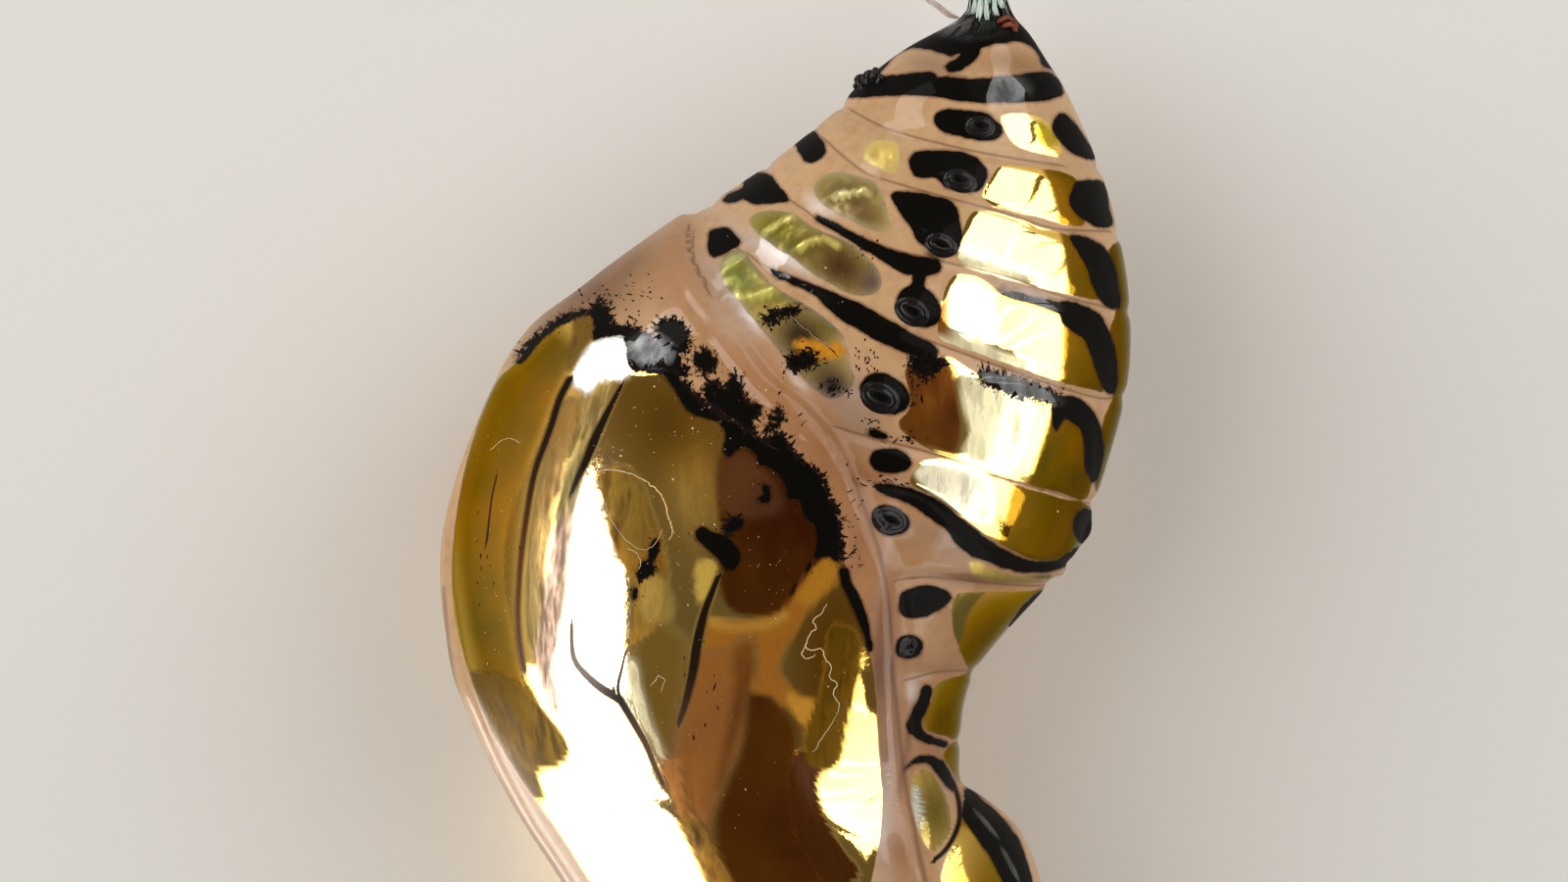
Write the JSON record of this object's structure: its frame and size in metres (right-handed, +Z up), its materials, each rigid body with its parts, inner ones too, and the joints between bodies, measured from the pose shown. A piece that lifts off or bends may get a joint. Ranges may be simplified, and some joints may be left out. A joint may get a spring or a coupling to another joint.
{
  "type": "golden butterfly chrysalis",
  "caption": "Mirror-gold butterfly chrysalis with black markings, lying on one flank: tail stalk with silk, ringed abdomen, rimmed wing case, thorax hump and horned head.",
  "frame": {"origin": "middle of the bounding box's underside, on the surface it lies on", "axes": "+Y from head to tail, +X from belly to back, +Z up, out of the flank that shows"},
  "size_m": [0.0126, 0.0232, 0.0094],
  "materials": {
    "shell": "mirror-bright gold with cream rings and glossy black marks",
    "silk": "fine felted threads"
  },
  "bodies": {
    "root": {"chrysalis": "shell", "silk_pad": "silk"}
  },
  "joints": []
}
